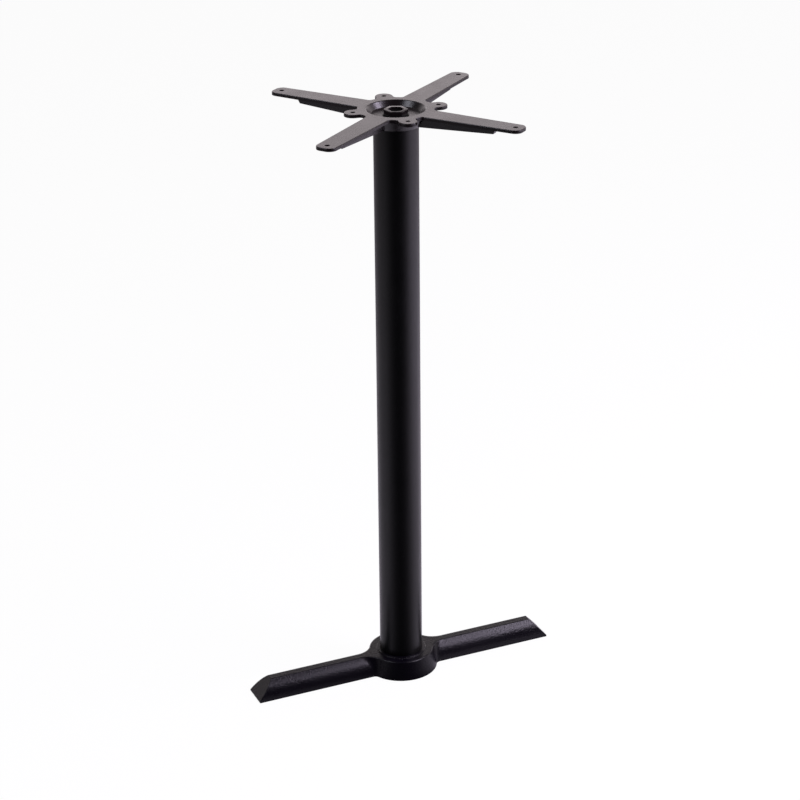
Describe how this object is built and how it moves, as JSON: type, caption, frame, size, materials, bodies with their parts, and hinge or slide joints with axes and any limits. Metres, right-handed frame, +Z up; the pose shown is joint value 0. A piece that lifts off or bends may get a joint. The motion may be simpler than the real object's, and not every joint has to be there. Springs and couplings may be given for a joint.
{
  "type": "table pedestal base",
  "caption": "Tall pedestal table base: narrow cast foot with long low legs, a round steel column and a cast top spider with drilled arms and ears",
  "frame": {"origin": "on the floor, under the axis of the column, at the middle of the part's box", "axes": "+Z up the column, +X along one leg of the foot, +Y across the foot; the first arm of the spider is turned 37 degrees from +X towards +Y"},
  "size_m": [0.568, 0.3854, 1.05],
  "materials": {
    "foot_coat": "fine textured black powder coat on cast iron",
    "column_coat": "satin black powder coat on steel tube",
    "spider_coat": "satin black coat on cast iron",
    "tie_steel": "blackened steel",
    "nut_steel": "blackened steel",
    "washer_steel": "blackened steel"
  },
  "bodies": {
    "root": {"foot_casting": "foot_coat", "column_tube": "column_coat", "top_spider": "spider_coat", "tie_tube": "tie_steel", "top_nut": "nut_steel", "top_washer": "washer_steel", "bottom_nut": "nut_steel", "bottom_washer": "washer_steel"}
  },
  "joints": []
}
